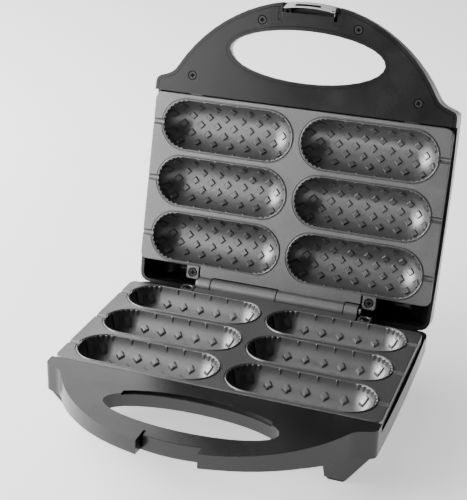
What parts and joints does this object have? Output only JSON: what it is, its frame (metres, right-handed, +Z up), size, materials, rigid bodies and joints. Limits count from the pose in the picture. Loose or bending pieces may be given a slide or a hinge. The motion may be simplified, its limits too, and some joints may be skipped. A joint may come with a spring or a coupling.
{
  "type": "crepe maker",
  "caption": "Open clamshell stick-crepe and waffle maker: two hinged black half-shells with grey baking plates of long waffled cavities, loop handles and a front latch.",
  "frame": {"origin": "centre of the footprint of the opened appliance, on the surface it stands on", "axes": "+X to the right seen from the front, +Y to the back (hinge side), +Z up"},
  "size_m": [0.2304, 0.2815, 0.2607],
  "materials": {
    "black_plastic": "semi-gloss moulded black",
    "cast_plate": "satin dark grey non-stick coating",
    "steel": "plain",
    "silver_plastic": "silver-grey satin",
    "rubber": "matt black",
    "ceramic": "glazed off-white",
    "insulation": "silicone sleeve",
    "red_lens": "clear red",
    "green_lens": "clear green",
    "lamp_glass": "clear"
  },
  "bodies": {
    "base": {"base_bottom_cover": "black_plastic", "base_casing": "black_plastic", "base_handle_screw_1": "steel", "base_handle_screw_2": "steel", "base_handle_screw_3": "steel", "base_handle_screw_4": "steel", "base_heat_shield": "steel", "base_heater": "steel", "base_heater_clamp": "steel", "base_plate": "cast_plate", "base_plate_screw_1": "steel", "base_plate_screw_2": "steel", "base_rear_screw_1": "steel", "base_rear_screw_2": "steel", "base_shield_screw_1": "steel", "base_shield_screw_2": "steel", "cord_gland": "rubber", "foot_front_left": "rubber", "foot_front_right": "rubber", "foot_rear_left": "rubber", "foot_rear_right": "rubber", "hinge_pin": "steel", "lead_fuse_to_thermostat": "insulation", "lead_neutral": "insulation", "lead_supply": "insulation", "lead_thermostat_to_heater": "insulation", "terminal_block": "ceramic", "thermal_fuse": "ceramic", "thermostat": "ceramic"},
    "lid": {"latch_pin": "steel", "lid_casing": "black_plastic", "lid_cover_screw_1": "steel", "lid_cover_screw_2": "steel", "lid_cover_screw_3": "steel", "lid_cover_screw_4": "steel", "lid_handle_cover": "black_plastic", "lid_heat_shield": "steel", "lid_heater": "steel", "lid_heater_clamp": "steel", "lid_lead_power": "insulation", "lid_lead_ready": "insulation", "lid_plate": "cast_plate", "lid_plate_screw_1": "steel", "lid_plate_screw_2": "steel", "lid_shield_screw_1": "steel", "lid_shield_screw_2": "steel", "power_lamp": "lamp_glass", "power_lens": "red_lens", "ready_lamp": "lamp_glass", "ready_lens": "green_lens"},
    "latch": {"latch": "silver_plastic"}
  },
  "joints": [
    {"name": "lid_hinge", "type": "hinge", "parent": "base", "child": "lid", "pos_m": [0, 0.0755, 0.048], "axis": [1, 0, 0], "range_deg": [0, 104.3]},
    {"name": "latch_pivot", "type": "hinge", "parent": "lid", "child": "latch", "pos_m": [0, 0.13451, 0.24916], "axis": [-1, 0, 0], "range_deg": [0, 20]}
  ]
}
